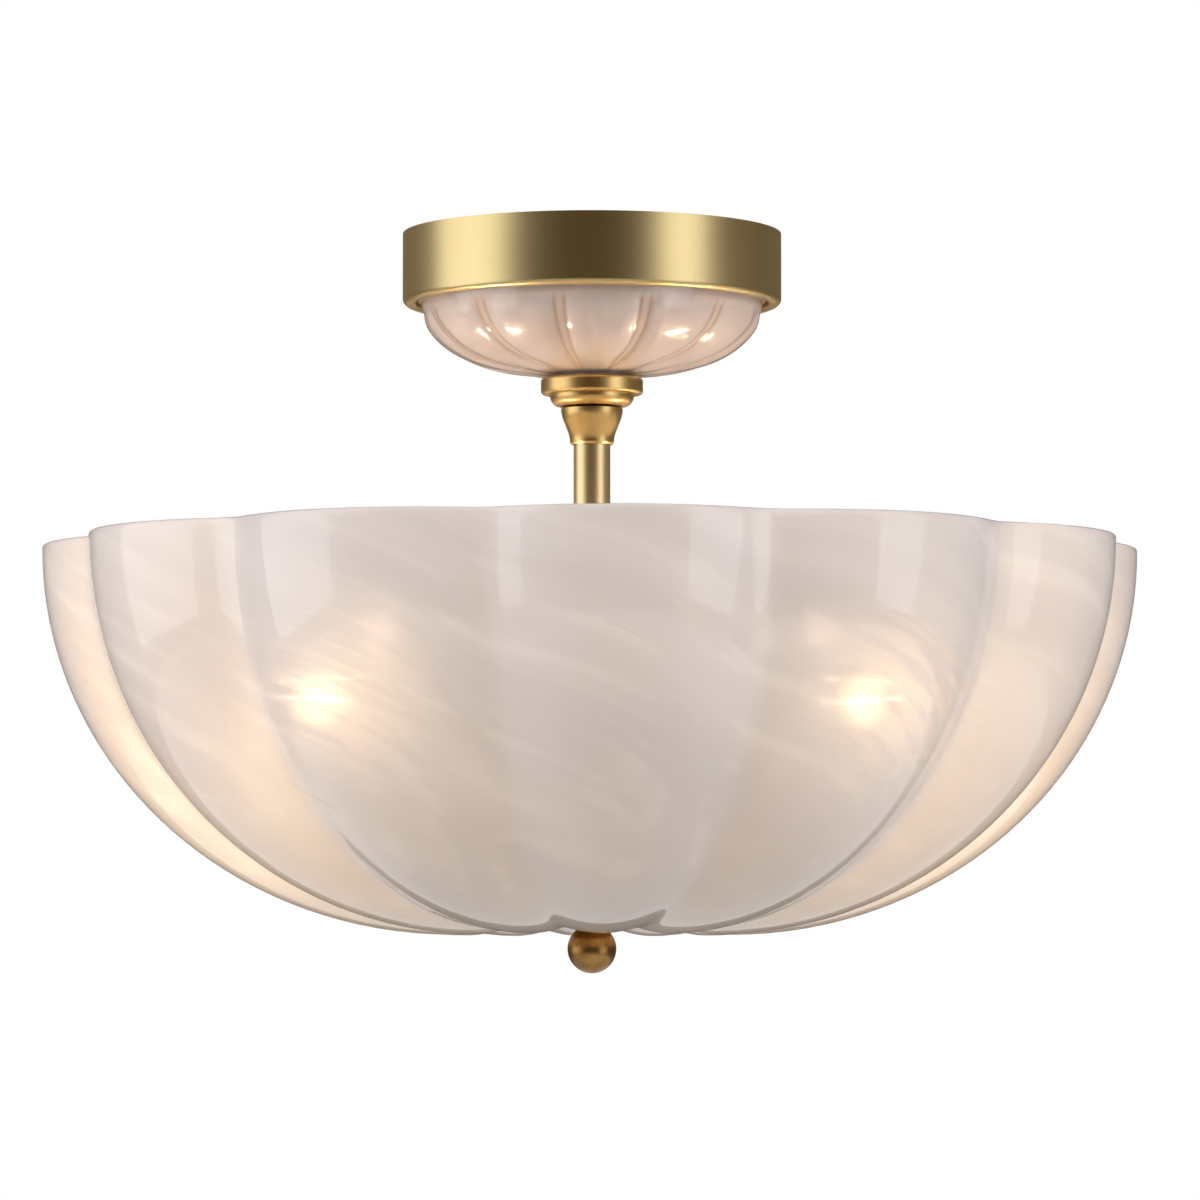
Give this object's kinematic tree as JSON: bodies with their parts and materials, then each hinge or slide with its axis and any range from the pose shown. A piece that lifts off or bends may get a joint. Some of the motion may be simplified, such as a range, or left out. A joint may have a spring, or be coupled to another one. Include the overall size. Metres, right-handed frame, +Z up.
{
  "type": "semi-flush ceiling light",
  "caption": "Semi-flush ceiling light: a lobed translucent glass bowl on a brass stem with a ball finial, under a brass drum canopy that holds a small fluted milk-glass dish.",
  "frame": {"origin": "centre of the ceiling plane, midway between the strap's two slots, level with the canopy's upper rim", "axes": "+Z up into the ceiling, +X along the strap and the two lamps, +Y completes the right-handed frame"},
  "size_m": [0.45, 0.45, 0.304],
  "materials": {
    "zinc_steel": "zinc-plated steel",
    "green_screw": "green-dyed screw",
    "terminal_plastic": "moulded polyamide",
    "contact_brass": "bright pressed brass",
    "satin_brass": "brushed satin brass, lacquered",
    "aged_brass": "aged satin brass",
    "seal": "translucent silicone",
    "milk_glass": "cased opal glass, glossy",
    "swirl_glass": "translucent swirled glass, glossy",
    "lead_sleeve": "glass-fibre sleeved lead",
    "holder_moulding": "glazed moulding",
    "bulb_glass": "clear glass",
    "bulb_cap": "bright nickel-plated cap",
    "glow_strip": "lit filament strips on a glass stem"
  },
  "bodies": {
    "root": {"mounting_strap": "zinc_steel", "ground_screw": "green_screw", "threaded_nipple": "zinc_steel", "nipple_nuts": "zinc_steel", "terminal_block": "terminal_plastic", "terminal_screws": "contact_brass", "canopy_pan": "satin_brass", "canopy_glass_seal": "seal", "canopy_glass": "milk_glass", "collar_seal": "seal", "collar_ring": "satin_brass", "stem_coupling": "satin_brass", "stem_tube": "satin_brass", "supply_leads": "lead_sleeve", "cluster_body": "satin_brass", "cluster_cover": "satin_brass", "cluster_screws": "zinc_steel", "left_arm": "satin_brass", "right_arm": "satin_brass", "left_lampholder": "holder_moulding", "right_lampholder": "holder_moulding", "left_screw_shell": "contact_brass", "right_screw_shell": "contact_brass", "left_contact": "contact_brass", "right_contact": "contact_brass", "hanger_rod": "zinc_steel", "rod_nuts": "zinc_steel", "bowl_inner_washer": "satin_brass", "bowl_inner_seal": "seal"},
    "bowl": {"bowl_glass": "swirl_glass", "bowl_lower_seal": "seal"},
    "finial_washer": {"finial_washer": "aged_brass"},
    "finial": {"finial_ball": "aged_brass"},
    "left_bulb": {"left_bulb_glass": "bulb_glass", "left_bulb_cap": "bulb_cap", "left_bulb_filament": "glow_strip"},
    "right_bulb": {"right_bulb_glass": "bulb_glass", "right_bulb_cap": "bulb_cap", "right_bulb_filament": "glow_strip"}
  },
  "joints": [
    {"name": "bowl_drop", "type": "slide", "parent": "root", "child": "bowl", "axis": [0, 0, -1], "range_m": [0, 0.165]},
    {"name": "finial_lower", "type": "slide", "parent": "bowl", "child": "finial_washer", "axis": [0, 0, -1], "range_m": [0, 0.009]},
    {"name": "finial_turn", "type": "hinge", "parent": "finial_washer", "child": "finial", "pos_m": [0, 0, -0.29403], "axis": [0, 0, -1], "range_deg": [0, 3240]},
    {"name": "left_bulb_out", "type": "slide", "parent": "root", "child": "left_bulb", "axis": [-1, 0, 0], "range_m": [0, 0.031]},
    {"name": "right_bulb_out", "type": "slide", "parent": "root", "child": "right_bulb", "axis": [1, 0, 0], "range_m": [0, 0.031]}
  ],
  "couplings": [
    {"joint": "finial_turn", "follows": "finial_lower", "rad_per_m": 6283.2}
  ]
}
